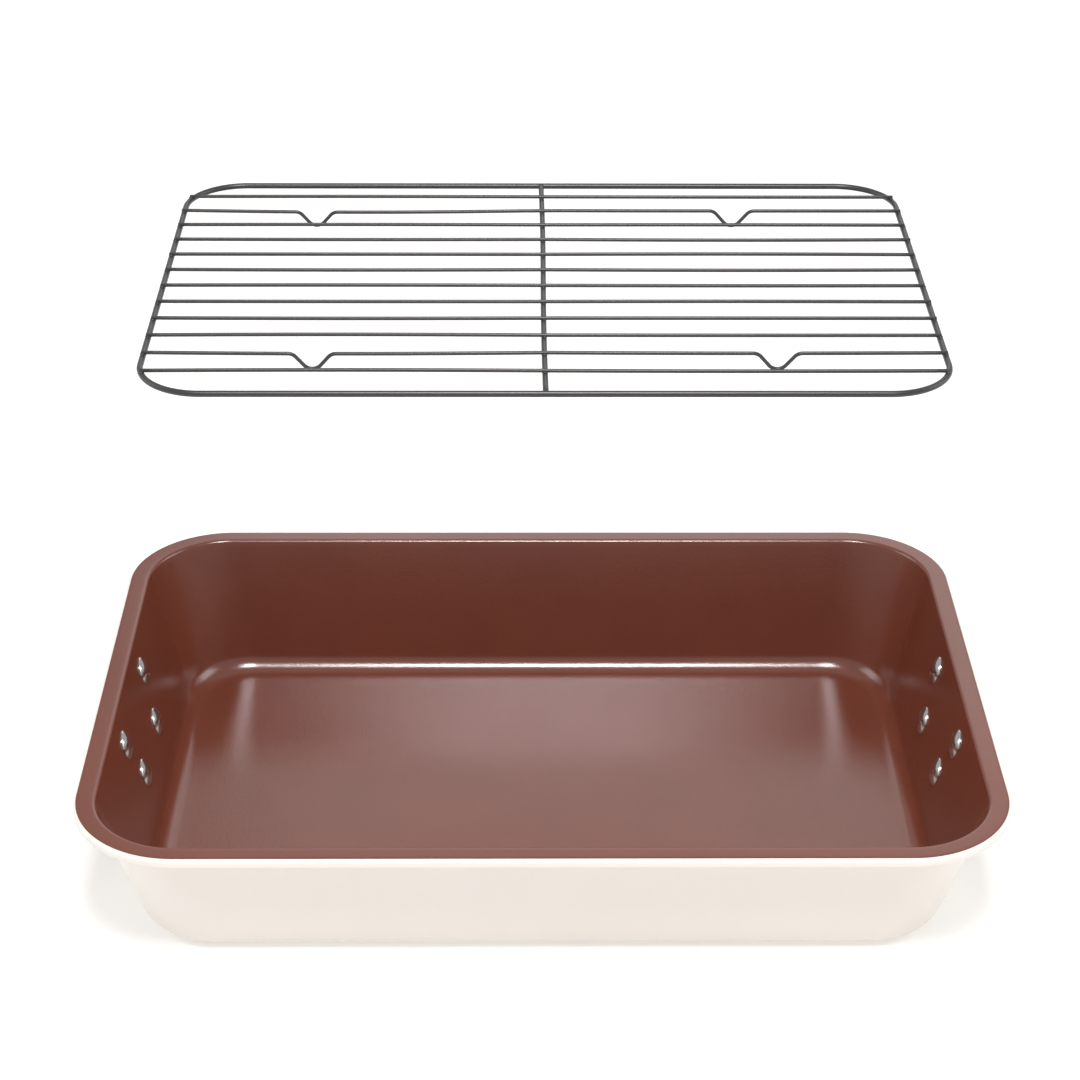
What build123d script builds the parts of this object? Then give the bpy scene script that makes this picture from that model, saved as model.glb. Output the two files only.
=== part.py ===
from build123d import *
from math import cos, radians, sin, sqrt, tan
import os

# Roasting pan with a lift-out wire rack. Lengths are in millimetres and angles in degrees.
# X runs along the pan, Y across it and Z up. The origin is the centre of the pan's underside.

# Pressed steel pan
rim_length = 412.6
rim_width = 286.6
rim_corner_radius = 49.0
pan_height = 68.0
sheet = 1.2
wall_draft_deg = 15.1
flange_width = 8.6
base_corner_radius = 34.0
base_bend_radius = 10.0
rim_bend_radius = 1.8
lip_height = 4.0
lip_roll_radius = 2.0
lip_edge_radius = 0.4

# Drop handles: one closed ring of rod under a pressed plate at each end
bail_rod_diameter = 6.0
bail_corner_radius = 9.0
bail_slack = 0.3
bail_side_clearance = 1.5
bail_table_clearance = 6.0
plate_sheet = 1.2
plate_depth = 27.0
plate_margin = 8.0
channel_foot_radius = 1.0
rivet_row_gap = 23.2
upper_rivet_spacing = 64.2
lower_rivet_spacing = 44.0

# Rivets, domed inside the pan and set flatter outside
rivet_shank_diameter = 5.0
rivet_head_diameter = 14.0
rivet_head_height = 2.6
rivet_tail_diameter = 9.0
rivet_tail_height = 1.8

# Wire rack on four bent feet, drawn lifted out above the pan by rack_lift from where it stands
rack_lift = 264.0
frame_wire_diameter = 2.6
cross_wire_diameter = 2.4
grid_wire_diameter = 1.6
weld_sink = 0.4
rack_end_clearance = 15.1
rack_side_clearance = 5.1
rack_corner_radius = 26.5
grid_wire_count = 12
grid_edge_margin = 17.7
grid_end_setback = 0.4
outer_wire_count = 1
foot_spacing = 190.0
far_foot_offset = -8.0
foot_drop = 7.2
foot_flank_deg = 49.0
foot_bend_radius = 4.5
foot_floor_gap = 0.3

# Overrun of each cutting tool past the face that it cuts, and the tolerance for picking edges by place
overrun = 1.0
pick_tolerance = 0.01

# Values that follow from the sizes above
draft = radians(wall_draft_deg)
flank = radians(foot_flank_deg)
wall_across = sheet / cos(draft)
bail_radius = bail_rod_diameter / 2
channel_radius = bail_radius + bail_slack
frame_radius = frame_wire_diameter / 2
cross_radius = cross_wire_diameter / 2
grid_radius = grid_wire_diameter / 2


# Pan: a drafted shell with a flat flange and a turned-down lip

def outer_inset(height):
    # Distance of the wall's outer face from the rim's edge, at a height
    return flange_width + (pan_height - height) * tan(draft)


def outer_corner(height):
    # Corner radius of the wall's outer face, at a height
    top_radius = rim_corner_radius - flange_width
    return base_corner_radius + (top_radius - base_corner_radius) * height / pan_height


def rounded_outline(height, inset, radius):
    outline = RectangleRounded(rim_length - 2 * inset, rim_width - 2 * inset, radius)
    return Pos(0, 0, height) * outline


def wall_section(height, depth):
    # The wall's outline at a height, taken a depth inwards from its outer face
    return rounded_outline(height, outer_inset(height) + depth, outer_corner(height) - depth)


def edges_at(shape, height):
    low = height - pick_tolerance
    high = height + pick_tolerance
    return [e for e in shape.edges() if e.bounding_box().min.Z > low and e.bounding_box().max.Z < high]


def inside_rim(edges):
    # Those edges that stand in from the rim's edge by more than the lip's thickness
    reach = rim_length / 2 - sheet - pick_tolerance
    side = rim_width / 2 - sheet - pick_tolerance
    return [e for e in edges if e.bounding_box().max.X < reach and e.bounding_box().min.X > -reach
            and e.bounding_box().max.Y < side and e.bounding_box().min.Y > -side]


def make_shell():
    outside = loft([wall_section(0, 0), wall_section(pan_height, 0)], ruled=True)
    outside = fillet(edges_at(outside, 0), base_bend_radius + sheet)
    inside = loft([wall_section(sheet, wall_across), wall_section(pan_height + overrun, wall_across)],
                  ruled=True)
    inside = fillet(edges_at(inside, sheet), base_bend_radius)

    flange = extrude(rounded_outline(pan_height, 0, rim_corner_radius), -sheet)
    lip = extrude(rounded_outline(pan_height, 0, rim_corner_radius), -lip_height)
    lip -= extrude(rounded_outline(pan_height - lip_height, sheet, rim_corner_radius - sheet), lip_height)
    shell = outside + flange + lip - inside

    underside = inside_rim(edges_at(shell, pan_height - sheet))
    shell = fillet(underside, rim_bend_radius - sheet)
    shell = fillet(inside_rim(edges_at(shell, pan_height)), rim_bend_radius)
    top = edges_at(shell, pan_height)
    outer_top = [e for e in top if e not in inside_rim(top)]
    shell = fillet(outer_top, lip_roll_radius)
    return fillet(edges_at(shell, pan_height - lip_height), lip_edge_radius)


# Handles: built flat for the right end, with X along the wall, Y up it and Z out of it

plate_height = pan_height - plate_depth
seat_x = rim_length / 2 - outer_inset(plate_height)
wall_plane = Plane(origin=(seat_x, 0, plate_height), x_dir=(0, 1, 0), z_dir=(cos(draft), 0, -sin(draft)))
axle_x = seat_x + channel_radius * cos(draft)
axle_height = plate_height - channel_radius * sin(draft)
bail_drop = axle_height - bail_table_clearance - bail_radius

rivet_places = [(-upper_rivet_spacing / 2, rivet_row_gap / 2), (upper_rivet_spacing / 2, rivet_row_gap / 2),
                (lower_rivet_spacing / 2, -rivet_row_gap / 2), (-lower_rivet_spacing / 2, -rivet_row_gap / 2)]


def plate_outline():
    corners = make_face(Polyline(*rivet_places, close=True))
    return offset(corners, plate_margin)


def channel(radius, length):
    # Round-topped tunnel over the bail's axle, open towards the wall
    foot = Rectangle(2 * radius, channel_radius, align=(Align.CENTER, Align.MIN))
    section = foot + Pos(0, channel_radius) * Circle(radius)
    return extrude(Plane.YZ * section, length / 2, both=True)


def drill_rivets(shape, plane):
    for place in rivet_places:
        hole = Pos(*place, -sheet) * Cylinder(rivet_shank_diameter / 2, 2 * (sheet + plate_sheet))
        shape -= plane.location * hole
    return shape


def make_plate():
    outline = plate_outline()
    width = 2 * outline.bounding_box().max.X
    crown = channel_radius + plate_sheet
    arch = channel(crown, width) & extrude(outline, channel_radius + crown)
    plate = extrude(outline, plate_sheet) + arch
    feet = [e for e in plate.edges().filter_by(Axis.X)
            if abs(e.center().Z - plate_sheet) < pick_tolerance
            and abs(abs(e.center().Y) - crown) < pick_tolerance]
    plate = fillet(feet, channel_foot_radius)
    plate -= channel(channel_radius, width + overrun)
    return wall_plane.location * drill_rivets(plate, Plane.XY)


def cap(diameter, height):
    # Low dome of a given base and height, standing on the XY plane
    radius = (diameter * diameter / 4 + height * height) / (2 * height)
    ball = Pos(0, 0, height - radius) * Sphere(radius)
    return ball & Cylinder(diameter / 2 + overrun, height, align=(Align.CENTER, Align.CENTER, Align.MIN))


def make_rivets():
    shank = Pos(0, 0, -sheet) * Cylinder(rivet_shank_diameter / 2, sheet + plate_sheet,
                                         align=(Align.CENTER, Align.CENTER, Align.MIN))
    head = Pos(0, 0, -sheet) * Rot(180, 0, 0) * cap(rivet_head_diameter, rivet_head_height)
    tail = Pos(0, 0, plate_sheet) * cap(rivet_tail_diameter, rivet_tail_height)
    rivet = shank + head + tail
    return Compound(children=[wall_plane.location * Pos(*place, 0) * rivet for place in rivet_places])


def rod_ring(length, width, corner, radius):
    # Closed ring of round rod about the origin, measured along its centre line
    path = RectangleRounded(length, width, corner).face().outer_wire()
    start = Plane(origin=path @ 0, z_dir=path % 0)
    return sweep(start * Circle(radius), path=path)


def make_bail():
    reach = plate_outline().bounding_box().max.X
    half_width = reach + bail_side_clearance + bail_corner_radius
    ring = rod_ring(2 * half_width, bail_drop, bail_corner_radius, bail_radius)
    upright = Plane(origin=(axle_x, 0, axle_height - bail_drop / 2), x_dir=(0, 1, 0), z_dir=(1, 0, 0))
    return upright.location * ring


# Rack: a ring of stout wire, one cross wire and a row of thin wires laid on top

wire_rise = frame_radius + grid_radius - weld_sink
standing_height = sheet + foot_floor_gap + grid_radius + foot_drop - wire_rise
rack_height = standing_height + rack_lift
wall_at_rack = outer_inset(standing_height) + wall_across
rack_length = rim_length - 2 * (wall_at_rack + rack_end_clearance)
rack_width = rim_width - 2 * (wall_at_rack + rack_side_clearance)
grid_span = rack_width - frame_wire_diameter - 2 * grid_edge_margin
grid_pitch = grid_span / (grid_wire_count - 1)


def make_frame():
    ring = rod_ring(rack_length - frame_wire_diameter, rack_width - frame_wire_diameter,
                    rack_corner_radius, frame_radius)
    return Pos(0, 0, rack_height) * ring


def make_cross_wire():
    length = rack_width - frame_wire_diameter
    return Pos(0, 0, rack_height) * Rot(90, 0, 0) * Cylinder(cross_radius, length)


def wire_reach(y):
    # Half the length of a grid wire, which ends a little short of the frame's outer side
    bend_centre = rack_width / 2 - frame_radius - rack_corner_radius
    past_bend = max(abs(y) - bend_centre, 0)
    cut_back = rack_corner_radius - sqrt(rack_corner_radius ** 2 - past_bend ** 2)
    return rack_length / 2 - cut_back - grid_end_setback


def straight_wire(y):
    return Pos(0, y, rack_height + wire_rise) * Rot(0, 90, 0) * Cylinder(grid_radius, 2 * wire_reach(y))


def foot_wire(y, shift):
    # The arc at the bottom of each foot cuts its corner short, so the corner lies deeper than the foot
    corner_drop = foot_drop + foot_bend_radius * (1 / cos(flank) - 1)
    half_mouth = corner_drop / tan(flank)
    points = [(-wire_reach(y), 0)]
    for centre in (shift - foot_spacing / 2, shift + foot_spacing / 2):
        points += [(centre - half_mouth, 0), (centre, -corner_drop), (centre + half_mouth, 0)]
    points.append((wire_reach(y), 0))
    path = Plane.XZ * FilletPolyline(*points, radius=foot_bend_radius)
    start = Plane(origin=path @ 0, z_dir=path % 0)
    wire = sweep(start * Circle(grid_radius), path=path)
    return Pos(0, y, rack_height + wire_rise) * wire


def save(shape, name):
    shape.label = name
    export_step(shape, "parts/" + name + ".step")


def write_parts():
    os.makedirs("parts", exist_ok=True)
    body = drill_rivets(make_shell(), wall_plane)
    body = mirror(drill_rivets(mirror(body, Plane.YZ), wall_plane), Plane.YZ)
    save(body, "pan_body")

    ends = {"handle_plate": make_plate(), "rivets": make_rivets(), "bail": make_bail()}
    for name, piece in ends.items():
        save(piece, "right_" + name)
        save(mirror(piece, Plane.YZ), "left_" + name)

    frame = make_frame()
    cross = make_cross_wire() - frame
    save(frame, "rack_frame")
    save(cross, "rack_cross_wire")
    # The wires are counted from the far side. Each foot wire has outer_wire_count straight wires outside it
    for place in range(1, grid_wire_count + 1):
        y = grid_span / 2 - (place - 1) * grid_pitch
        if place == outer_wire_count + 1:
            wire, name = foot_wire(y, far_foot_offset), "rack_foot_wire_far"
        elif place == grid_wire_count - outer_wire_count:
            wire, name = foot_wire(y, 0), "rack_foot_wire_near"
        else:
            wire, name = straight_wire(y), "rack_wire_" + str(place).zfill(2)
        save(wire - frame - cross, name)


write_parts()
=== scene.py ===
import math

import bmesh
import bpy
import numpy as np
from mathutils import Matrix, Vector


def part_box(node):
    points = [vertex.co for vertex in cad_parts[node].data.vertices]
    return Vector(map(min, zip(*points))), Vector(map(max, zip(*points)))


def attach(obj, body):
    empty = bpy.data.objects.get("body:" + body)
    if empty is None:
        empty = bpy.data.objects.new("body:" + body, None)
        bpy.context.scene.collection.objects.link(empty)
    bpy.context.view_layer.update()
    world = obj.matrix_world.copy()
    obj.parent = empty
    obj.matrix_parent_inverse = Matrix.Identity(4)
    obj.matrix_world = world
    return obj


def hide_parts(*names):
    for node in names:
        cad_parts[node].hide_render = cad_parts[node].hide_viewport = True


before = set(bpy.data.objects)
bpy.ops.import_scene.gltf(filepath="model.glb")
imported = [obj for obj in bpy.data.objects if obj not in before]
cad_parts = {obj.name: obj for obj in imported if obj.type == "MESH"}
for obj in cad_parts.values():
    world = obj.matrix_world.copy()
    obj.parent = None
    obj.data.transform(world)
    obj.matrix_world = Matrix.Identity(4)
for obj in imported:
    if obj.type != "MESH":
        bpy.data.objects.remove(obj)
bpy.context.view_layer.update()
mm = 0.001


# Meshes from numpy grids

def nodeBox(node):
    low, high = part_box(node)
    return np.array(low) / mm, np.array(high) / mm    # corners in mm


def gridFaces(rows, columns, closedAround=True, closedAlong=False):
    # Quads between each point, the next point along, the one beyond it and the next point around
    along = np.arange(rows if closedAlong else rows - 1)
    around = np.arange(columns if closedAround else columns - 1)
    row, nextRow = along[:, None] * columns, ((along[:, None] + 1) % rows) * columns
    column, nextColumn = around[None, :], (around[None, :] + 1) % columns
    corners = [row + column, nextRow + column, nextRow + nextColumn, row + nextColumn]
    return np.stack(corners, axis=-1).reshape(-1, 4)


def fanFaces(ring, pole, before):
    # Triangles from each edge of a ring to one point, turned to match the quads after it or before it
    step = np.roll(ring, -1)
    tip = np.full(len(ring), pole)
    return np.stack([tip, ring, step] if before else [ring, tip, step], axis=-1)


def outwardFaces(points, quads, triangles):
    # The signed volume is a sixth of the sum of each triangle's first corner dotted with the cross of the
    # others, and where it comes out negative every face is turned over
    halves = np.concatenate([quads[:, [0, 1, 2]], quads[:, [0, 2, 3]], triangles])
    a, b, c = (points[halves[:, k]] for k in range(3))
    if np.einsum("ij,ij->i", a, np.cross(b, c)).sum() < 0:
        quads, triangles = quads[:, ::-1], triangles[:, ::-1]
    return quads, triangles


def closedShell(grid, closedAlong=False, poles=None):
    # A tube-like grid becomes one closed shell: its rows join up, or each end row closes on a pole
    rows, columns = grid.shape[:2]
    points = grid.reshape(-1, 3)
    quads = gridFaces(rows, columns, closedAlong=closedAlong)
    triangles = np.zeros((0, 3), int)
    if poles is not None:
        firstRing = np.arange(columns)
        lastRing = firstRing + (rows - 1) * columns
        triangles = np.concatenate([fanFaces(firstRing, len(points), True),
                                    fanFaces(lastRing, len(points) + 1, False)])
        points = np.concatenate([points, poles])
    return (points,) + outwardFaces(points, quads, triangles)


def joinShells(shells):
    points, quads, triangles, count = [], [], [], 0
    for shellPoints, shellQuads, shellTriangles in shells:
        points.append(shellPoints)
        quads.append(shellQuads + count)
        triangles.append(shellTriangles + count)
        count += len(shellPoints)
    return np.concatenate(points), np.concatenate(quads), np.concatenate(triangles)


def makePiece(name, shell, body, materials, hides):
    # Puts a shell given in mm into a smooth mesh in metres, riding on its body in place of its CAD nodes
    points, quads, triangles = shell
    mesh = bpy.data.meshes.new(name)
    mesh.from_pydata((points * mm).tolist(), [], quads.tolist() + triangles.tolist())
    mesh.shade_smooth()
    for material in materials:
        mesh.materials.append(material)
    piece = bpy.data.objects.new(name, mesh)
    bpy.context.scene.collection.objects.link(piece)
    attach(piece, body)
    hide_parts(*hides)
    return piece


def arc(centre, radius, startDeg, endDeg, count):
    # Points of a circle's arc between two angles
    turn = np.radians(np.linspace(startDeg, endDeg, count))
    return np.stack([centre[0] + radius * np.cos(turn), centre[1] + radius * np.sin(turn)], axis=-1)


def roundedPath(corners, bendRadius, bendSteps, spanSteps, closed):
    # Straight spans joined by tangent arcs: an arc's radius arm turns evenly from the first span's side to
    # the next's
    corners = np.asarray(corners, float)
    if closed:
        middle, before, after = corners, np.roll(corners, 1, axis=0), np.roll(corners, -1, axis=0)
    else:
        middle, before, after = corners[1:-1], corners[:-2], corners[2:]
    inward = (middle - before) / np.linalg.norm(middle - before, axis=1, keepdims=True)
    outward = (after - middle) / np.linalg.norm(after - middle, axis=1, keepdims=True)
    turn = np.arccos(np.clip((inward * outward).sum(axis=1), -1, 1))[:, None]
    bisector = (outward - inward) / np.linalg.norm(outward - inward, axis=1, keepdims=True)
    centre = middle + bisector * bendRadius / np.cos(turn / 2)
    start = middle - inward * bendRadius * np.tan(turn / 2) - centre
    end = middle + outward * bendRadius * np.tan(turn / 2) - centre
    share = np.linspace(0, 1, bendSteps + 1)[None, :, None]
    sweep = turn[:, :, None]
    arms = np.sin((1 - share) * sweep) * start[:, None] + np.sin(share * sweep) * end[:, None]
    arcs = centre[:, None] + arms / np.sin(sweep)
    path = [] if closed else [corners[:1]]
    for bend in arcs:
        path.append(bend)
    path = path + ([arcs[0][:1]] if closed else [corners[-1:]])
    split = np.linspace(0, 1, spanSteps + 1)[1:-1, None]
    filled = []
    for k, stretch in enumerate(path):
        filled.append(stretch)
        if k + 1 < len(path):
            filled.append(stretch[-1] + (path[k + 1][0] - stretch[-1]) * split)
    filled = np.concatenate(filled)
    return filled[:-1] if closed else filled


endRingsDeg = (20, 45, 68)    # where the end rings of an open tube lie on its dome


def tube(path, planeNormal, radius, sides, closed=False, endBulge=0.35):
    # Each ring is path point + radius * (cos(turn) * side + sin(turn) * plane normal), the side lying
    # square to the path in its plane. An open tube ends in a low dome, whose rings shrink as sines over a
    # cosine's advance
    normal = np.asarray(planeNormal, float)
    radii = np.full(len(path), radius)
    if closed:
        direction = np.roll(path, -1, axis=0) - np.roll(path, 1, axis=0)
    else:
        startWay = (path[0] - path[1]) / np.linalg.norm(path[0] - path[1])
        endWay = (path[-1] - path[-2]) / np.linalg.norm(path[-1] - path[-2])
        dome = np.radians(endRingsDeg)
        advance = (endBulge * radius * np.cos(dome))[:, None]
        poles = np.stack([path[0] + startWay * endBulge * radius, path[-1] + endWay * endBulge * radius])
        path = np.concatenate([path[0] + startWay * advance, path, path[-1] + endWay * advance[::-1]])
        radii = np.concatenate([radius * np.sin(dome), radii, radius * np.sin(dome[::-1])])
        direction = np.gradient(path, axis=0)
    direction = direction / np.linalg.norm(direction, axis=1, keepdims=True)
    side = np.cross(direction, normal)
    side = side / np.linalg.norm(side, axis=1, keepdims=True)
    turn = np.linspace(0, 2 * math.pi, sides, endpoint=False)
    ring = np.cos(turn)[None, :, None] * side[:, None] + np.sin(turn)[None, :, None] * normal
    grid = path[:, None] + radii[:, None, None] * ring
    return closedShell(grid, closedAlong=closed, poles=None if closed else poles)


# Materials

def toLinear(hexColour):
    # sRGB to linear: value / 12.92 up to 0.04045, and above it ((value + 0.055) / 1.055) to the power 2.4
    shares = [int(hexColour[k:k + 2], 16) / 255 for k in (1, 3, 5)]
    return [s / 12.92 if s <= 0.04045 else ((s + 0.055) / 1.055) ** 2.4 for s in shares] + [1.0]


def addNode(tree, kind, settings=None, links=None):
    # Adds one node. Settings are its properties or its sockets' values, and links are the outputs that its
    # sockets take
    node = tree.nodes.new(kind)
    for key, value in (settings or {}).items():
        if isinstance(key, str) and key not in node.inputs:
            setattr(node, key, value)
        else:
            node.inputs[key].default_value = value
    for key, output in (links or {}).items():
        tree.links.new(output, node.inputs[key])
    return node


def startMaterial(name, settings):
    material = bpy.data.materials.new(name)
    material.use_nodes = True
    tree = material.node_tree
    tree.nodes.clear()
    shader = addNode(tree, "ShaderNodeBsdfPrincipled", settings)
    addNode(tree, "ShaderNodeOutputMaterial", links={"Surface": shader.outputs[0]})
    place = addNode(tree, "ShaderNodeTexCoord").outputs["Object"]
    return material, tree, shader, place


def addNoise(tree, place, size, detail):
    # Smooth noise with features of a size given in mm
    return addNode(tree, "ShaderNodeTexNoise", {"Scale": 1 / (size * mm), "Detail": detail},
                   {"Vector": place}).outputs["Fac"]


def spreadRoughness(tree, shader, look, noise):
    # The noise, which lies mostly within its band, moves the roughness up and down by its spread
    band = {"From Min": 0.3, "From Max": 0.7, "To Min": look["roughness"] - look["roughnessSpread"],
            "To Max": look["roughness"] + look["roughnessSpread"]}
    rough = addNode(tree, "ShaderNodeMapRange", band, {"Value": noise}).outputs["Result"]
    tree.links.new(rough, shader.inputs["Roughness"])


def mixColours(tree, shader, colour, otherColour, noise):
    # The noise blends the one colour into the other. The sockets 6 and 7 are the two colours, 0 the share
    blend = addNode(tree, "ShaderNodeMix", {"data_type": "RGBA", 6: toLinear(colour),
                                            7: toLinear(otherColour)}, {0: noise}).outputs[2]
    tree.links.new(blend, shader.inputs["Base Color"])


def raiseSurface(tree, shader, height, noise, below=None):
    # The noise stands up by a height given in mm, from the bare surface or from the relief below it
    links = {"Height": noise}
    if below is not None:
        links["Normal"] = below
    relief = addNode(tree, "ShaderNodeBump", {"Distance": height * mm}, links).outputs["Normal"]
    tree.links.new(relief, shader.inputs["Normal"])
    return relief


# Ceramic non-stick, sol-gel sprayed on pressed steel and cured: a satin red-brown skin with a fine sprayed
# grain that softens the edges of its highlights, a little thicker and darker in slow clouds. The grain is
# drawn several times coarser than real so that it shows
ceramicLook = {
    "colour": "#6C3726", "thickColour": "#622F21",
    "grainSize": 0.8, "grainHeight": 0.05, "cloudSize": 38.0,
    "roughness": 0.2, "roughnessSpread": 0.03, "ior": 1.72,
}


def makeCeramic(look):
    material, tree, shader, place = startMaterial("brownCeramicCoating", {"IOR": look["ior"]})
    cloud = addNoise(tree, place, look["cloudSize"], 3.0)
    grain = addNoise(tree, place, look["grainSize"], 2.0)
    mixColours(tree, shader, look["colour"], look["thickColour"], cloud)
    spreadRoughness(tree, shader, look, grain)
    raiseSurface(tree, shader, look["grainHeight"], grain)
    return material


# Cream silicone-polyester coating, sprayed on the outside: smooth and silky, with faint orange peel
creamLook = {
    "colour": "#E5E0D9", "thinColour": "#E1DAD1",
    "peelSize": 2.4, "peelHeight": 0.012, "cloudSize": 60.0, "roughness": 0.34, "ior": 1.5,
}


def makeCream(look):
    material, tree, shader, place = startMaterial("creamCoating", {"IOR": look["ior"],
                                                                   "Roughness": look["roughness"]})
    cloud = addNoise(tree, place, look["cloudSize"], 2.0)
    peel = addNoise(tree, place, look["peelSize"], 1.0)
    mixColours(tree, shader, look["colour"], look["thinColour"], cloud)
    raiseSurface(tree, shader, look["peelHeight"], peel)
    return material


# Pressed stainless sheet, brushed along the handle before it was stamped: fine parallel scratches, drawn
# about three times coarser than real so that they show
sheetLook = {"colour": "#BDBAB5", "scratchWidth": 0.25, "scratchLength": 14.0, "scratchHeight": 0.006,
             "roughness": 0.28, "roughnessSpread": 0.08}


def makeSheet(look):
    material, tree, shader, place = startMaterial("brushedStainlessSheet", {
        "Metallic": 1.0, "Base Color": toLinear(look["colour"])})
    fine, long = 1 / (look["scratchWidth"] * mm), 1 / (look["scratchLength"] * mm)
    stretched = addNode(tree, "ShaderNodeMapping", {"Scale": (fine, long, fine)},
                        {"Vector": place}).outputs[0]
    scratch = addNode(tree, "ShaderNodeTexNoise", {"Scale": 1.0, "Detail": 2.0},
                      {"Vector": stretched}).outputs["Fac"]
    spreadRoughness(tree, shader, look, scratch)
    raiseSurface(tree, shader, look["scratchHeight"], scratch)
    return material


# Stainless rod, drawn through a die, bent and polished: bright, with faint soft marks left from the bending
rodLook = {"colour": "#C6C3BF", "markSize": 5.0, "markHeight": 0.02, "fineSize": 0.6,
           "roughness": 0.13, "roughnessSpread": 0.05}
# Stainless rivet, cold-headed and tumbled to a polish
rivetLook = {"colour": "#CFCDCA", "markSize": 2.2, "markHeight": 0.02, "fineSize": 0.4,
             "roughness": 0.09, "roughnessSpread": 0.04}


def makePolished(name, look):
    material, tree, shader, place = startMaterial(name, {
        "Metallic": 1.0, "Base Color": toLinear(look["colour"])})
    mark = addNoise(tree, place, look["markSize"], 1.0)
    fine = addNoise(tree, place, look["fineSize"], 2.0)
    spreadRoughness(tree, shader, look, fine)
    raiseSurface(tree, shader, look["markHeight"], mark)
    return material


# Steel wire under a dip of dark grey non-stick coating: semi-gloss, faintly uneven from the dip
wireLook = {"colour": "#2B2B2B", "thinColour": "#333333", "unevenSize": 6.0, "unevenHeight": 0.03,
            "fineSize": 0.5, "fineHeight": 0.008, "roughness": 0.33, "ior": 1.5}


def makeWire(look):
    material, tree, shader, place = startMaterial("darkNonstickWire", {"IOR": look["ior"],
                                                                       "Roughness": look["roughness"]})
    uneven = addNoise(tree, place, look["unevenSize"], 2.0)
    fine = addNoise(tree, place, look["fineSize"], 1.0)
    mixColours(tree, shader, look["colour"], look["thinColour"], uneven)
    broad = raiseSurface(tree, shader, look["unevenHeight"], uneven)
    raiseSurface(tree, shader, look["fineHeight"], fine, broad)
    return material


ceramic = makeCeramic(ceramicLook)
cream = makeCream(creamLook)
brushedSheet = makeSheet(sheetLook)
polishedRod = makePolished("polishedStainlessRod", rodLook)
polishedRivet = makePolished("polishedRivet", rivetLook)
coatedWire = makeWire(wireLook)
print("materials made")


# Pan: one pressed shell, its section carried round a rounded rectangle

pan = {
    "sheet": 1.2, "draftDeg": 15.1, "flange": 8.6, "rimCorner": 49.0, "baseCorner": 34.0,
    "baseBend": 10.0, "rimBend": 1.8, "lip": 4.0, "lipRoll": 2.0, "lipEdge": 0.4,
    "paintTurnDeg": 20.0,        # how far down the roll the brown coating goes
    "floorCrown": 0.45,          # how far the floor's middle stands up
    "wallWave": 0.12,            # how far the walls stray from true
    "waveAlong": 47.0, "waveAcross": 39.0, "waveStart": 1.3, "waveSlant": 71.0, "slantShare": 0.6,
    "cornerSteps": 26, "longSteps": 64, "shortSteps": 44, "floorRings": 26, "wallSteps": 26,
    "baseRows": 19, "rimRows": 11, "rimUnderRows": 8, "paintRows": 4, "rollRows": 11, "rollUnderRows": 7,
    "edgeRows": 5, "flangeSteps": 4, "lipSteps": 3,
}
panLow, panHigh = nodeBox("pan_body")
rimHalf = (panHigh[:2] - panLow[:2]) / 2
panHeight = panHigh[2]
slope = math.tan(math.radians(pan["draftDeg"]))
tiltCos = math.cos(math.radians(pan["draftDeg"]))


def wallInset(height):
    # Distance of the wall's outer face from the rim's edge
    return pan["flange"] + (panHeight - height) * slope


def wallCorner(height):
    # Corner radius of the wall's outer face, which grows evenly from the base to the rim
    topCorner = pan["rimCorner"] - pan["flange"]
    return pan["baseCorner"] + (topCorner - pan["baseCorner"]) * height / panHeight


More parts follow.
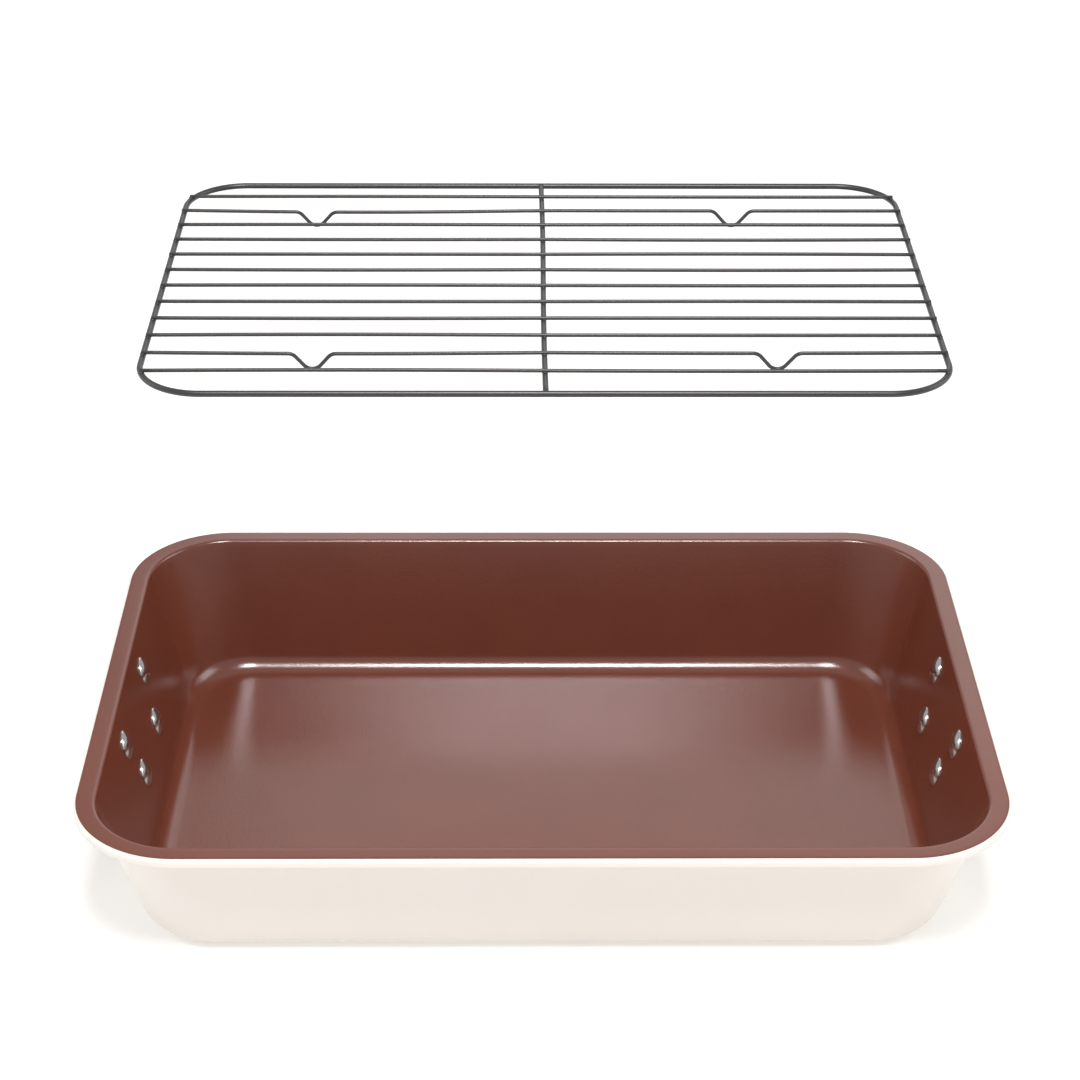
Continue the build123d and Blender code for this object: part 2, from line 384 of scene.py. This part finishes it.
def panSection():
    # The section from the floor's edge, up and over the rim, to the underside's edge, as rows of
    # inset, height and the wall height whose corner they follow. Also the row where the brown coating ends
    sheet, draft = pan["sheet"], pan["draftDeg"]
    innerWall = wallInset(0) + sheet / tiltCos    # the inner face's inset, carried down to height 0
    bendHeight = sheet + pan["baseBend"]
    bend = (innerWall - slope * bendHeight + pan["baseBend"] / tiltCos, bendHeight)
    rimCentreHeight = panHeight - pan["rimBend"]
    rimBend = (innerWall - slope * rimCentreHeight - pan["rimBend"] / tiltCos, rimCentreHeight)
    roll = (pan["lipRoll"], panHeight - pan["lipRoll"])
    edge, lipFoot = pan["lipEdge"], panHeight - pan["lip"] + pan["lipEdge"]
    outerEdge, innerEdge = (edge, lipFoot), (sheet - edge, lipFoot)
    rollInner, rimInner, bendOuter = pan["lipRoll"] - sheet, pan["rimBend"] - sheet, pan["baseBend"] + sheet

    def straight(start, end, steps):
        return start + (end - start) * np.linspace(0, 1, steps + 1)[1:-1, None]

    floorBend = arc(bend, pan["baseBend"], 270, 180 + draft, pan["baseRows"])
    wallTop = arc(rimBend, pan["rimBend"], draft, 90, pan["rimRows"])
    paintEnd = 90 + pan["paintTurnDeg"]
    rollBrown = arc(roll, pan["lipRoll"], 90, paintEnd, pan["paintRows"])
    rollCream = arc(roll, pan["lipRoll"], paintEnd, 180, pan["rollRows"])
    rollTop = np.concatenate([rollBrown, rollCream[1:]])
    lipOut = arc(outerEdge, edge, 180, 270, pan["edgeRows"])
    lipIn = arc(innerEdge, edge, 270, 360, pan["edgeRows"])
    rollUnder = arc(roll, rollInner, 180, 90, pan["rollUnderRows"])
    wallUnder = arc(rimBend, rimInner, 90, draft, pan["rimUnderRows"])
    baseOut = arc(bend, bendOuter, 180 + draft, 270, pan["baseRows"])
    inside = [floorBend, straight(floorBend[-1], wallTop[0], pan["wallSteps"]), wallTop]
    over, down = pan["flangeSteps"], pan["lipSteps"]
    rim = [straight(wallTop[-1], rollTop[0], over), rollTop, straight(rollTop[-1], lipOut[0], down), lipOut,
           lipIn, straight(lipIn[-1], rollUnder[0], down), rollUnder,
           straight(rollUnder[-1], wallUnder[0], over)]
    outside = [wallUnder, straight(wallUnder[-1], baseOut[0], pan["wallSteps"]), baseOut]
    paintRow = len(np.concatenate(inside + rim[:1])) + len(rollBrown) - 1
    section, level = [], []
    for group, isRim in ((inside, False), (rim, True), (outside, False)):
        points = np.concatenate(group)
        section.append(points)
        level.append(np.full(len(points), panHeight) if isRim else points[:, 1])
    return np.column_stack([np.concatenate(section), np.concatenate(level)]), paintRow


def rimOutline(inset, corner):
    # Points of a rounded rectangle for each inset and corner radius: straight sides in even steps, and at
    # each corner the arc's centre plus its radius turned through a quarter
    half = rimHalf[None, :] - inset[:, None] - corner[:, None]
    quarter = np.linspace(0, math.pi / 2, pan["cornerSteps"] + 1)
    stretches = []
    for k, (signX, signY) in enumerate(((1, 1), (-1, 1), (-1, -1), (1, -1))):
        turn = quarter + k * math.pi / 2
        x = signX * half[:, :1] + corner[:, None] * np.cos(turn)
        y = signY * half[:, 1:] + corner[:, None] * np.sin(turn)
        bend = np.stack([x, y], axis=-1)
        steps = pan["longSteps"] if k in (0, 2) else pan["shortSteps"]
        share = np.linspace(0, 1, steps + 1)[None, 1:-1, None]
        nextCentre = half * np.array([(-1, 1), (-1, -1), (1, -1), (1, 1)][k])
        nextArm = corner[:, None] * np.array([(0, 1), (-1, 0), (0, -1), (1, 0)][k])
        nextStart = (nextCentre + nextArm)[:, None]
        side = bend[:, -1:] + (nextStart - bend[:, -1:]) * share
        stretches += [bend, side]
    return np.concatenate(stretches, axis=1)


def makePan():
    # Each row of the section goes round its own rounded rectangle, at its own height
    section, paintRow = panSection()
    inset, height, level = section.T
    corner = wallCorner(level) + wallInset(level) - inset
    rings = rimOutline(inset, corner)
    x, y = rings[..., 0], rings[..., 1]
    # The walls stray as slow waves, which fade out at the base and at the rim
    rise = np.clip(height / panHeight, 0, 1)[:, None]
    square = np.sin(x / pan["waveAlong"] + pan["waveStart"]) * np.cos(y / pan["waveAcross"])
    wave = square + pan["slantShare"] * np.sin((x - y) / pan["waveSlant"])
    stray = pan["wallWave"] * wave * np.sin(math.pi * rise)
    outward = rings / np.linalg.norm(rings, axis=-1, keepdims=True)
    heights = np.broadcast_to(height[:, None, None], x.shape + (1,))
    walls = np.concatenate([rings + outward * stray[..., None], heights], axis=-1)
    # The floor and the underside are the end rings drawn in towards the centre, the floor with a low crown
    shares = np.linspace(0, 1, pan["floorRings"] + 1)[1:-1, None, None]
    floor = walls[0] * shares
    crown = pan["floorCrown"] * (1 - shares ** 2) ** 2
    floor[..., 2:] = walls[0, 0, 2] + crown
    under = walls[-1] * shares[::-1]
    grid = np.concatenate([floor, walls, under])
    poles = np.array([[0, 0, height[0] + pan["floorCrown"]], [0, 0, height[-1]]])
    shell = closedShell(grid, poles=poles)
    piece = makePiece("pan_shell", shell, "pan", [ceramic, cream], ["pan_body"])
    # Faces run row by row from the floor outwards, and the fan at the floor's middle follows all the quads
    brownRows = len(floor) + paintRow
    columns = grid.shape[1]
    faceCount = len(piece.data.polygons)
    isCream = np.ones(faceCount, dtype=np.int32)
    isCream[:brownRows * columns] = 0
    quadCount = (len(grid) - 1) * columns
    isCream[quadCount:quadCount + columns] = 0
    piece.data.polygons.foreach_set("material_index", isCream)


makePan()
print("pan made")


# Handles: a pressed plate on four rivets, with the bail's rod under its channel, at each end

handle = {
    "plateDepth": 27.0, "sheet": 1.2, "margin": 8.0,
    "rivetRowGap": 23.2, "upperSpacing": 64.2, "lowerSpacing": 44.0,
    "channelRadius": 3.3, "footRadius": 1.6, "edgeSteps": (0.0, 0.05, 0.18, 0.36, 0.6), "columns": 40,
    "footRows": 8, "archRows": 25, "flatRows": 14, "flatStart": 0.15, "halvings": 40,
    "mergeDistance": 0.004, "thinnest": 0.002,
}
plateHeight = panHeight - handle["plateDepth"]
seatX = rimHalf[0] - wallInset(plateHeight)
outWay = np.array([tiltCos, 0, -slope * tiltCos])
upWay = np.array([slope * tiltCos, 0, tiltCos])
rivetCorners = np.array([[-handle["upperSpacing"], handle["rivetRowGap"]],
                         [handle["upperSpacing"], handle["rivetRowGap"]],
                         [handle["lowerSpacing"], -handle["rivetRowGap"]],
                         [-handle["lowerSpacing"], -handle["rivetRowGap"]]]) / 2


def onWall(local, side):
    # A point along, up and out from the wall's seat goes to its place at the right end, or turned half
    # round to the left
    point = np.array([seatX, 0, plateHeight]) + local[..., :1] * np.array([0, 1, 0]) \
        + local[..., 1:2] * upWay + local[..., 2:3] * outWay
    return point * np.array([side, side, 1])


def distanceInside(along, up):
    # How far a point lies inside the plate's outline: the margin less its distance from the rivets' trapezium
    point = np.stack([along, up], axis=-1)
    nearest = np.full(along.shape, np.inf)
    beyond = np.zeros(along.shape, bool)
    for k in range(4):
        start, end = rivetCorners[k], rivetCorners[(k + 1) % 4]
        edge = end - start
        share = np.clip(((point - start) @ edge) / (edge @ edge), 0, 1)
        nearest = np.minimum(nearest, np.linalg.norm(point - start - share[..., None] * edge, axis=-1))
        beyond |= (point - start) @ np.array([-edge[1], edge[0]]) > 0
    return handle["margin"] + np.where(beyond, -nearest, nearest)


def plateHalfWidth(up):
    # Half the plate's width at each height: the furthest point along that still lies inside the outline
    low, high = np.zeros(len(up)), np.full(len(up), handle["upperSpacing"])
    for _ in range(handle["halvings"]):
        middle = (low + high) / 2
        inside = distanceInside(middle, up) >= -1e-9
        low, high = np.where(inside, middle, low), np.where(inside, high, middle)
    return low


def plateSection():
    # The pressed sheet's middle line, up the wall: flat, round a foot, up and over the rod, and down to the
    # flat again
    half = handle["sheet"] / 2
    reach = handle["rivetRowGap"] / 2 + handle["margin"]
    crown, foot = handle["channelRadius"] + half, handle["footRadius"]
    leftFoot = arc((-crown - foot, half + foot), foot, -90, 0, handle["footRows"])
    arch = arc((0, handle["channelRadius"]), crown, 180, 0, handle["archRows"])
    rightFoot = arc((crown + foot, half + foot), foot, 180, 270, handle["footRows"])
    edges = np.array(handle["edgeSteps"])
    lowEdge = np.stack([-reach + edges, np.full(len(edges), half)], axis=-1)
    rise = 1 - np.cos(np.linspace(handle["flatStart"], 1, handle["flatRows"]) * math.pi / 2)
    lowFlat = lowEdge[-1] + (leftFoot[0] - lowEdge[-1]) * rise[:-1, None]
    highFlat = (lowFlat * np.array([-1, 1]))[::-1]
    highEdge = (lowEdge * np.array([-1, 1]))[::-1]
    return np.concatenate([lowEdge, lowFlat, leftFoot, arch, rightFoot, highFlat, highEdge])


def makePlate(name, node, side):
    # The middle surface is the section carried along the wall, as wide at each height as the outline. Its two
    # faces stand off it by half the sheet, less near the edge as a quarter circle, so that the edge is round
    section = plateSection()
    width = plateHalfWidth(section[:, 0])
    edges = np.array(handle["edgeSteps"])
    spread = np.sin(np.linspace(-1, 1, handle["columns"] + 1) * math.pi / 2)
    inner = np.maximum(width - edges[-1], 0)[:, None] * spread[1:-1]
    outerRight = np.maximum(width[:, None] - edges[::-1], 0)
    along = np.concatenate([-outerRight[:, ::-1], inner, outerRight], axis=1)
    up, out = (np.broadcast_to(section[:, k:k + 1], along.shape) for k in (0, 1))
    slopeAlong = np.gradient(section, axis=0)
    slopeAlong /= np.linalg.norm(slopeAlong, axis=1, keepdims=True)
    face = np.stack([-slopeAlong[:, 1], slopeAlong[:, 0]], axis=-1)[:, None]
    half = handle["sheet"] / 2
    depth = np.clip(distanceInside(along, up) / half, 0, 1)
    thick = half * np.sqrt(1 - (1 - depth) ** 2)
    shells = []
    for sign in (1, -1):
        offset = sign * thick[..., None] * face
        local = np.stack([along, up + offset[..., 0], out + offset[..., 1]], axis=-1)
        shells.append(onWall(local, side).reshape(-1, 3))
    # Both faces share the points round the edge
    rows, columns = along.shape
    count = rows * columns
    row, column = np.divmod(np.arange(count), columns)
    onEdge = (row == 0) | (row == rows - 1) | (column == 0) | (column == columns - 1)
    backIndex = np.where(onEdge, np.arange(count), np.arange(count) + count)
    front = gridFaces(rows, columns, closedAround=False)
    back = backIndex[front][:, ::-1]
    points = np.concatenate(shells)
    quads, triangles = outwardFaces(points, np.concatenate([front, back]), np.zeros((0, 3), int))
    piece = makePiece(name, (points, quads, triangles), "pan", [brushedSheet], [node])
    cleanMesh(piece)


def cleanMesh(piece):
    # Points that fell together are merged, and loose points and faces with no area go
    work = bmesh.new()
    work.from_mesh(piece.data)
    bmesh.ops.remove_doubles(work, verts=work.verts, dist=handle["mergeDistance"] * mm)
    bmesh.ops.dissolve_degenerate(work, edges=work.edges, dist=handle["thinnest"] * mm)
    bmesh.ops.delete(work, geom=[v for v in work.verts if not v.link_faces], context="VERTS")
    work.to_mesh(piece.data)
    work.free()
    piece.data.shade_smooth()


rivet = {"headDiameter": 14.0, "headHeight": 2.6, "tailDiameter": 9.0, "tailHeight": 1.8, "tailFlat": 3.4,
         "rim": 0.3, "shank": 5.0, "seat": 0.05, "flare": 0.4, "tailBulge": 0.28, "domeRows": 12, "sides": 48}


def rivetSection():
    # Radius and height out of the wall, from the head's top inside the pan to the tail's top outside: a low
    # dome on a small rounded rim, the shank, and a tail whose dome is set flat in the middle
    inner = -pan["sheet"]
    headRadius, tailRadius = rivet["headDiameter"] / 2, rivet["tailDiameter"] / 2
    rim, rise = rivet["rim"], rivet["headHeight"] - rivet["rim"]
    ball = (headRadius ** 2 + rise ** 2) / (2 * rise)
    reach = math.asin(headRadius / ball)
    turn = np.linspace(0.06, 1, rivet["domeRows"]) * reach
    headDome = np.stack([ball * np.sin(turn), inner - rim - (ball * np.cos(turn) - ball + rise)], axis=-1)
    headRim = arc((headRadius - rim * 0.6, inner - rim * 0.4), rim * 0.6, -20, 75, 5)
    shank = np.array([[rivet["shank"] / 2 + rivet["flare"], inner + rivet["seat"]],
                      [rivet["shank"] / 2, inner + 2 * rivet["seat"]],
                      [rivet["shank"] / 2, handle["sheet"] - 2 * rivet["seat"]],
                      [rivet["shank"] / 2 + rivet["flare"], handle["sheet"] - rivet["seat"]]])
    tailRim = arc((tailRadius - rim, handle["sheet"] + rim * 0.7), rim, -80, 40, 6)
    share = np.linspace(0, 1, 9)[1:, None]
    shoulder = np.array([[rivet["tailFlat"] / 2, handle["sheet"] + rivet["tailHeight"]]])
    bulge = np.sin(share * math.pi) * rivet["tailBulge"]
    tailDome = tailRim[-1] + (shoulder - tailRim[-1]) * share + bulge * np.array([0.55, 0.83])
    return np.concatenate([headDome, headRim, shank, tailRim, tailDome])


def makeRivets(name, node, side):
    # Each rivet is its section turned round the line out of the wall through its corner of the trapezium
    section = rivetSection()
    turn = np.linspace(0, 2 * math.pi, rivet["sides"], endpoint=False)
    shells = []
    for place in rivetCorners:
        radius, out = section[:, :1], section[:, 1:]
        local = np.stack([place[0] + radius * np.cos(turn), place[1] + radius * np.sin(turn),
                          np.broadcast_to(out, (len(section), len(turn)))], axis=-1)
        ends = np.array([[place[0], place[1], -pan["sheet"] - rivet["headHeight"]],
                         [place[0], place[1], handle["sheet"] + rivet["tailHeight"]]])
        shells.append(closedShell(onWall(local, side), poles=onWall(ends, side)))
    makePiece(name, joinShells(shells), "pan", [polishedRivet], [node])


bail = {"corner": 9.0, "bendSteps": 16, "spanSteps": 24, "sides": 32}


def makeBail(name, node, body):
    # A round rod along a rounded rectangle that hangs in an upright plane across the pan
    low, high = nodeBox(node)
    radius = (high[0] - low[0]) / 2
    x = (high[0] + low[0]) / 2
    (yLow, zLow), (yHigh, zHigh) = low[1:] + radius, high[1:] - radius
    corners = [(x, yLow, zLow), (x, yHigh, zLow), (x, yHigh, zHigh), (x, yLow, zHigh)]
    path = roundedPath(corners, bail["corner"], bail["bendSteps"], bail["spanSteps"], closed=True)
    shell = tube(path, (1, 0, 0), radius, bail["sides"], closed=True)
    makePiece(name, shell, body, [polishedRod], [node])


for end, side in (("left", -1), ("right", 1)):
    makePlate(end + "_pressed_plate", end + "_handle_plate", side)
    makeRivets(end + "_domed_rivets", end + "_rivets", side)
    makeBail(end + "_rod_bail", end + "_bail", end + "_bail")
print("handles made")


# Rack: the frame, the cross wire and the grid wires, slightly bowed, with a bead of weld at each crossing

rack = {
    "corner": 26.5, "crossBow": 0.25,
    "footSpacing": 190.0, "farFootOffset": -8.0, "footDrop": 7.2, "flankDeg": 49.0, "footBend": 4.5,
    "bow": 0.28, "endShort": 0.5, "endStray": 0.3, "seed": 7,
    "farBow": -0.8, "nearBow": -0.5,     # the two foot wires sag more, left of the cross wire
    "sides": 16, "frameSides": 20, "wirePoints": 61, "crossPoints": 41,
    "cornerSteps": 24, "sideSteps": 40, "footSteps": 10, "spanSteps": 12,
    "beadLength": 1.1, "beadWidth": 1.15, "beadHeight": 0.65, "beadRows": 9, "beadSides": 14,
    "beadSeat": 0.8,                      # of the frame wire's radius: how high on it the beads lie
    "endBead": (1.35, 0.9, 0.95),         # of the wires' radii: the beads at the cross wire's ends
}
frameLow, frameHigh = nodeBox("rack_frame")
frameRadius = (frameHigh[2] - frameLow[2]) / 2
frameHalf = (frameHigh[:2] - frameLow[:2]) / 2 - frameRadius
frameHeight = (frameHigh[2] + frameLow[2]) / 2
wireNodes = sorted((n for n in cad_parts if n.startswith("rack_wire") or n.startswith("rack_foot")),
                   key=lambda n: -nodeBox(n)[0][1])
wander = np.random.default_rng(rack["seed"])


def bowOf(x, half, leftBow, rightBow):
    # Half a sine wave between each end and the cross wire
    return np.where(x < 0, leftBow, rightBow) * np.sin(math.pi * np.abs(x) / half).clip(0)


def footPath(half, shift, y, z, bows):
    # A straight wire with two shallow V feet: at each foot the corner lies below the foot's own depth,
    # because the arc cuts it short by its radius times (1 / cos(flank) - 1). Where the wire will sag, the
    # foot is as much shorter, so that all four stand on the pan's floor
    flank = math.radians(rack["flankDeg"])
    corners = [(-half, y, z)]
    for centre in (shift - rack["footSpacing"] / 2, shift + rack["footSpacing"] / 2):
        sag = float(bowOf(centre, half, bows[0], bows[1]))
        drop = rack["footDrop"] + rack["footBend"] * (1 / math.cos(flank) - 1) + sag
        mouth = drop / math.tan(flank)
        corners += [(centre - mouth, y, z), (centre, y, z - drop), (centre + mouth, y, z)]
    corners.append((half, y, z))
    return roundedPath(corners, rack["footBend"], rack["footSteps"], rack["spanSteps"], closed=False)


def makeRackWire(node):
    low, high = nodeBox(node)
    radius = (high[1] - low[1]) / 2
    y, z = (low[1] + high[1]) / 2, high[2] - radius
    leftPoke, rightPoke = wander.uniform(-1, 1, 2) * rack["endStray"]
    bows = wander.uniform(-1, 1, 4) * rack["bow"]
    half = high[0] - rack["endShort"]
    if "foot" in node:
        shift = rack["farFootOffset"] if "far" in node else 0.0
        bows[0] = rack["farBow"] if "far" in node else rack["nearBow"]
        path = footPath(half, shift, y, z, bows)
    else:
        count = rack["wirePoints"]
        path = np.stack([np.linspace(-half, half, count), np.full(count, y), np.full(count, z)], axis=-1)
    x = path[:, 0].copy()
    path[:, 2] += bowOf(x, half, bows[0], bows[1])
    path[:, 1] += bowOf(x, half, bows[2], bows[3])
    path[:, 0] += np.where(x < 0, leftPoke, rightPoke) * np.abs(x) / half
    shell = tube(path, (0, 1, 0), radius, rack["sides"])
    makePiece(node + "_bowed", shell, "rack", [coatedWire], [node])
    return y, z


def frameReach(y):
    # How far along X the frame's wire stands at a distance across: its straight end, or its corner's arc
    inCorner = np.clip(np.abs(y) - (frameHalf[1] - rack["corner"]), 0, rack["corner"])
    return frameHalf[0] - rack["corner"] + np.sqrt(rack["corner"] ** 2 - inCorner ** 2)


def beads(places, size):
    # A weld bead is a ball squashed to its three half sizes, one at each place
    rise = np.radians(np.linspace(-72, 72, rack["beadRows"]))[:, None]
    turn = np.linspace(0, 2 * math.pi, rack["beadSides"], endpoint=False)[None, :]
    unit = np.stack([np.cos(rise) * np.cos(turn), np.cos(rise) * np.sin(turn),
                     np.broadcast_to(np.sin(rise), (rack["beadRows"], rack["beadSides"]))], axis=-1)
    tips = np.array([[0, 0, -1.0], [0, 0, 1.0]])
    return [closedShell(unit * size + place, poles=tips * size + place) for place in places]


def makeRack():
    # The frame's ring, the cross wire, the grid wires, and beads where these cross
    corners = [(sx * frameHalf[0], sy * frameHalf[1], frameHeight)
               for sx, sy in ((1, 1), (-1, 1), (-1, -1), (1, -1))]
    path = roundedPath(corners, rack["corner"], rack["cornerSteps"], rack["sideSteps"], closed=True)
    ring = tube(path, (0, 0, 1), frameRadius, rack["frameSides"], closed=True)
    makePiece("rack_frame_ring", ring, "rack", [coatedWire], ["rack_frame"])

    low, high = nodeBox("rack_cross_wire")
    crossRadius = (high[0] - low[0]) / 2
    line = np.linspace(-frameHalf[1], frameHalf[1], rack["crossPoints"])
    cross = np.stack([np.zeros(len(line)), line, np.full(len(line), frameHeight)], axis=-1)
    cross[:, 0] += rack["crossBow"] * np.sin(math.pi * line / frameHalf[1])
    makePiece("rack_cross_wire_straight", tube(cross, (0, 0, 1), crossRadius, rack["frameSides"]), "rack",
              [coatedWire], ["rack_cross_wire"])

    wires = [makeRackWire(node) for node in wireNodes]
    y = np.array([w[0] for w in wires])
    contact = frameHeight + frameRadius * rack["beadSeat"]
    reach = frameReach(y)
    size = np.array([rack["beadLength"], rack["beadWidth"], rack["beadHeight"]])
    welds = []
    for side in (-1, 1):
        welds += beads(np.stack([side * reach, y, np.full(len(y), contact)], axis=-1), size)
    welds += beads(np.stack([np.zeros(len(y)), y, np.full(len(y), contact)], axis=-1), size)
    wide, deep, tall = rack["endBead"]
    joints = np.array([[0, side * (frameHalf[1] - frameRadius * deep), frameHeight] for side in (-1, 1)])
    welds += beads(joints, np.array([crossRadius * wide, frameRadius * deep, crossRadius * tall]))
    makePiece("rack_welds", joinShells(welds), "rack", [coatedWire], [])


makeRack()
print("rack made:", len(wireNodes), "grid wires")


# Floor, light and camera

# The paper glows faintly, as an overexposed sweep does, so that it stays white without lights that would
# bleach the pan
studio = {"floorSize": 30.0, "floorDrop": 0.0003, "floorColour": "#D2D2D1", "floorRoughness": 0.9,
          "glow": "#FFFCF8", "glowPower": 0.42, "air": 0.52}


def makeFloor():
    half = studio["floorSize"] / 2
    mesh = bpy.data.meshes.new("paper_floor")
    z = -studio["floorDrop"]
    corners = [(-half, -half, z), (half, -half, z), (half, half, z), (-half, half, z)]
    mesh.from_pydata(corners, [], [(0, 1, 2, 3)])
    material = startMaterial("whitePaper", {
        "Base Color": toLinear(studio["floorColour"]), "Roughness": studio["floorRoughness"],
        "Emission Color": toLinear(studio["glow"]), "Emission Strength": studio["glowPower"]})[0]
    mesh.materials.append(material)
    floor = bpy.data.objects.new("paper_floor", mesh)
    bpy.context.scene.collection.objects.link(floor)


def aim(thing, place, target):
    way = Vector(target) - Vector(place)
    thing.matrix_world = Matrix.Translation(place) @ way.to_track_quat("-Z", "Y").to_matrix().to_4x4()


softLights = {
    "key_strip": {"place": (0.03, -0.79, 1.74), "target": (0.03, 0.10, 0.03), "size": (0.48, 0.5),
                  "power": 30.0, "colour": (0.98, 0.95, 0.98)},
    "back_panel": {"place": (0.25, 2.4, 1.25), "target": (0, 0, 0.05), "size": (1.5, 1.2), "power": 4.2,
                   "colour": (1.0, 1.0, 1.0)},
    "left_panel": {"place": (-2.2, 0.2, 1.3), "target": (0, 0, 0.05), "size": (1.4, 1.2), "power": 12.0,
                   "colour": (1.0, 1.0, 1.0)},
    "right_panel": {"place": (2.2, 0.2, 1.3), "target": (0, 0, 0.05), "size": (1.4, 1.2), "power": 15.0,
                    "colour": (1.0, 1.0, 1.0)},
}


def makeLights():
    world = bpy.data.worlds.new("studio_air")
    bpy.context.scene.world = world
    world.use_nodes = True
    background = world.node_tree.nodes["Background"]
    background.inputs["Color"].default_value = (1, 1, 1, 1)
    background.inputs["Strength"].default_value = studio["air"]
    for name, look in softLights.items():
        data = bpy.data.lights.new(name, "AREA")
        data.shape = "RECTANGLE"
        data.size, data.size_y = look["size"]
        data.energy = look["power"]
        data.color = look["colour"]
        light = bpy.data.objects.new(name, data)
        bpy.context.scene.collection.objects.link(light)
        light.visible_camera = False
        aim(light, look["place"], look["target"])


cameraLook = {"lens": 87.02, "place": (-0.0121, -1.0410, 0.7278), "pitchDeg": 29.318, "yawDeg": -0.62,
              "rollDeg": 0.291, "near": 0.05, "far": 60.0}


def makeCamera():
    # Looks along +Y tipped down by the pitch, rolled about its own line and then turned about Z by the yaw
    pitch, yaw, roll = (math.radians(cameraLook[k]) for k in ("pitchDeg", "yawDeg", "rollDeg"))
    forward = Vector((0, math.cos(pitch), -math.sin(pitch)))
    right = Vector((1, 0, 0))
    up = right.cross(forward)
    rolledRight = math.cos(roll) * right + math.sin(roll) * up
    rolledUp = math.cos(roll) * up - math.sin(roll) * right
    turn = Matrix((rolledRight, rolledUp, -forward)).transposed()
    data = bpy.data.cameras.new("photo_camera")
    data.lens = cameraLook["lens"]
    data.clip_start, data.clip_end = cameraLook["near"], cameraLook["far"]
    camera = bpy.data.objects.new("photo_camera", data)
    bpy.context.scene.collection.objects.link(camera)
    camera.matrix_world = (Matrix.Translation(cameraLook["place"]) @ Matrix.Rotation(yaw, 4, "Z")
                           @ turn.to_4x4())
    bpy.context.scene.camera = camera


makeFloor()
makeLights()
makeCamera()
bpy.context.scene.view_settings.view_transform = "Standard"
print("stage, lights and camera made")
